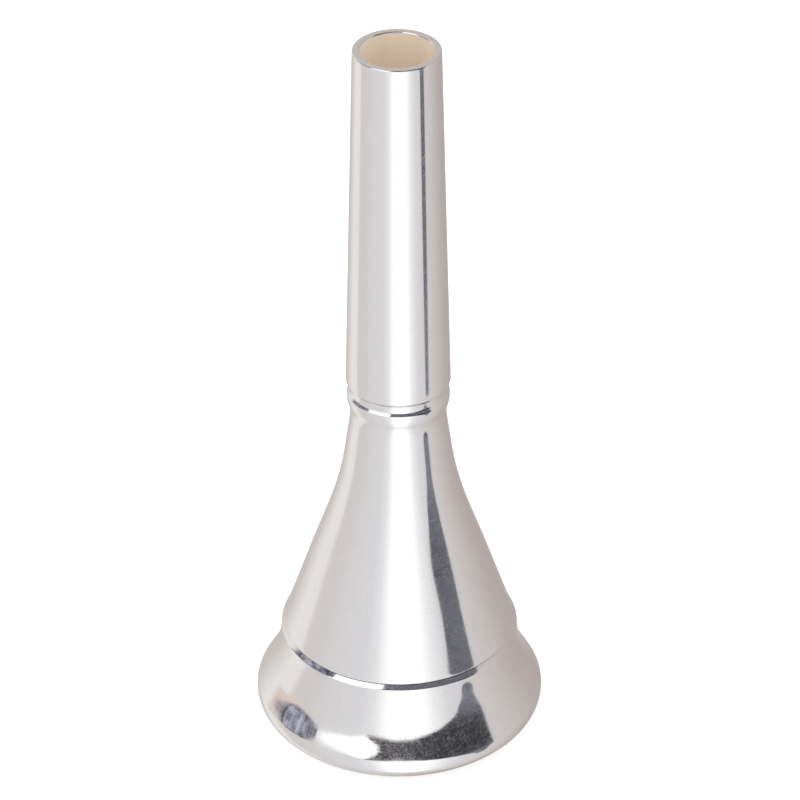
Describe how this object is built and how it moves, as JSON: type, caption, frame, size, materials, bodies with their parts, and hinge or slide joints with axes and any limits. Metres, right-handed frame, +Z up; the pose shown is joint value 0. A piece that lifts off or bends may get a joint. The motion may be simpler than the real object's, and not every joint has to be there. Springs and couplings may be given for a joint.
{
  "type": "horn mouthpiece",
  "caption": "Silver-plated brass horn mouthpiece: rounded rim, conical cup and tapered shank, screwed together over small seal rings.",
  "frame": {"origin": "on the bore axis, in the plane that the rim stands on", "axes": "+Z up the bore axis, from the rim towards the end of the shank; X and Y are any two directions across it"},
  "size_m": [0.025, 0.025, 0.0648],
  "materials": {
    "rim_silver": "silver plated, polished",
    "cup_silver": "silver plated, polished",
    "shank_silver": "silver plated, polished",
    "seal_rubber": "matte moulded rubber"
  },
  "bodies": {
    "rim": {"rim": "rim_silver"},
    "rim_seal_ring": {"rim_seal_ring": "seal_rubber"},
    "cup": {"cup": "cup_silver"},
    "neck_seal_ring": {"neck_seal_ring": "seal_rubber"},
    "shank": {"shank": "shank_silver"}
  },
  "joints": [
    {"name": "cup_rise", "type": "slide", "parent": "rim", "child": "rim_seal_ring", "axis": [0, 0, 1], "range_m": [0, 0.00375]},
    {"name": "cup_turn", "type": "hinge", "parent": "rim_seal_ring", "child": "cup", "pos_m": [0, 0, 0.009], "axis": [0, 0, 1], "range_deg": [0, 1800]},
    {"name": "shank_rise", "type": "slide", "parent": "cup", "child": "neck_seal_ring", "axis": [0, 0, 1], "range_m": [0, 0.0035]},
    {"name": "shank_turn", "type": "hinge", "parent": "neck_seal_ring", "child": "shank", "pos_m": [0, 0, 0.0335], "axis": [0, 0, 1], "range_deg": [0, 2520]}
  ],
  "couplings": [
    {"joint": "cup_rise", "follows": "cup_turn", "m_per_rad": 0.00011937},
    {"joint": "shank_rise", "follows": "shank_turn", "m_per_rad": 0.000079577}
  ]
}
